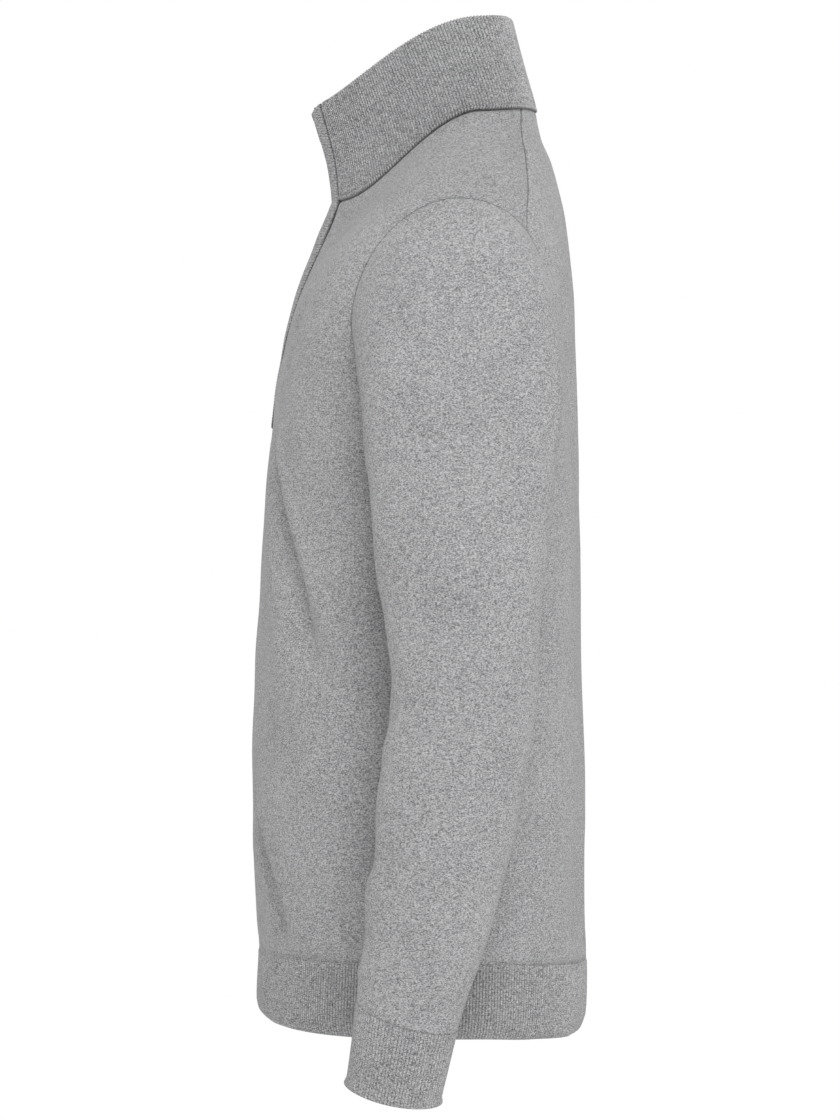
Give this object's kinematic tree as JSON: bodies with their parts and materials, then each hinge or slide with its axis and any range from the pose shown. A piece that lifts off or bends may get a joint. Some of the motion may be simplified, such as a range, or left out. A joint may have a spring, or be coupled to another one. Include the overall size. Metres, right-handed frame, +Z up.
{
  "type": "quarter zip sweater",
  "caption": "Long-sleeved fine-knit sweater with a ribbed stand collar, a chest zip between two knitted strips, ribbed cuffs and a ribbed hem, filled out as worn.",
  "frame": {"origin": "midway between the two shoulder points, inside the garment, where the wearer's shoulders carry it", "axes": "+Z up towards the collar, -Y towards the front with the zip, +X towards the wearer's left sleeve"},
  "size_m": [0.6142, 0.2502, 0.7874],
  "materials": {
    "jersey": "plain fine knit in grey melange yarn",
    "rib": "ribbed knit in the same yarn",
    "tape": "woven zip tape",
    "metal": "satin"
  },
  "bodies": {
    "sweater": {"front": "jersey", "back": "jersey", "sleeve_left": "jersey", "sleeve_right": "jersey", "cuff_left": "rib", "cuff_right": "rib", "hem_front": "rib", "hem_back": "rib", "collar": "rib", "placket_left": "rib", "placket_right": "rib", "zip_tape_left": "tape", "zip_tape_right": "tape", "zip_slider": "metal"},
    "pull": {"zip_pull": "metal"}
  },
  "joints": [
    {"name": "pull_hinge", "type": "hinge", "parent": "sweater", "child": "pull", "pos_m": [0, -0.10691, 0.077], "axis": [1, 0, 0], "range_deg": [-150, 0]}
  ]
}
